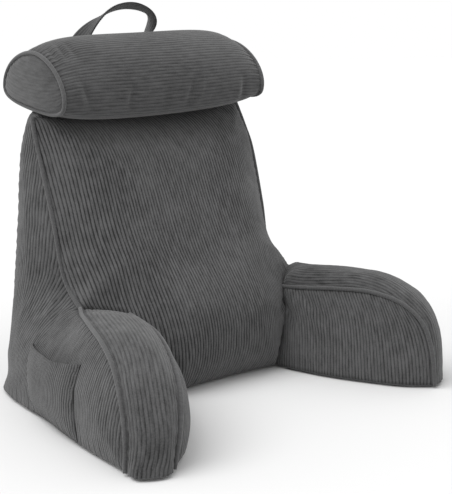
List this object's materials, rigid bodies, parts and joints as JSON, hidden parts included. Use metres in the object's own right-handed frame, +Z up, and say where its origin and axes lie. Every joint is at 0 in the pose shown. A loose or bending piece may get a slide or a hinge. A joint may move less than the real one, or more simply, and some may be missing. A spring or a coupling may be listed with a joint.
{
  "type": "reading pillow with arms",
  "caption": "Dark grey wide-wale corduroy reading pillow: a wedge back with two arms, a half-moon neck bolster, a carry handle, piping and a side pocket.",
  "frame": {"origin": "middle of the bounding box on the floor it rests on", "axes": "+X to the sitter's left seen from the front, that is to the right of somebody facing the pillow, along its width; +Y to its rear; +Z up; the sitter leans on the side facing -Y"},
  "size_m": [0.755, 0.7204, 0.7045],
  "materials": {
    "cushion_body": "wide-wale cotton corduroy, matt with a soft nap",
    "bolster": "wide-wale cotton corduroy, matt with a soft nap",
    "piping": "corded piping in the cover's own cloth",
    "handle": "folded and stitched strap in the cover's own cloth"
  },
  "bodies": {
    "root": {"cushion_body": "cushion_body", "bolster": "bolster", "carry_handle": "handle", "side_pocket": "cushion_body", "piping_outer_left": "piping", "piping_outer_right": "piping", "piping_inner_left": "piping", "piping_inner_right": "piping", "bolster_piping_left": "piping", "bolster_piping_right": "piping"}
  },
  "joints": []
}
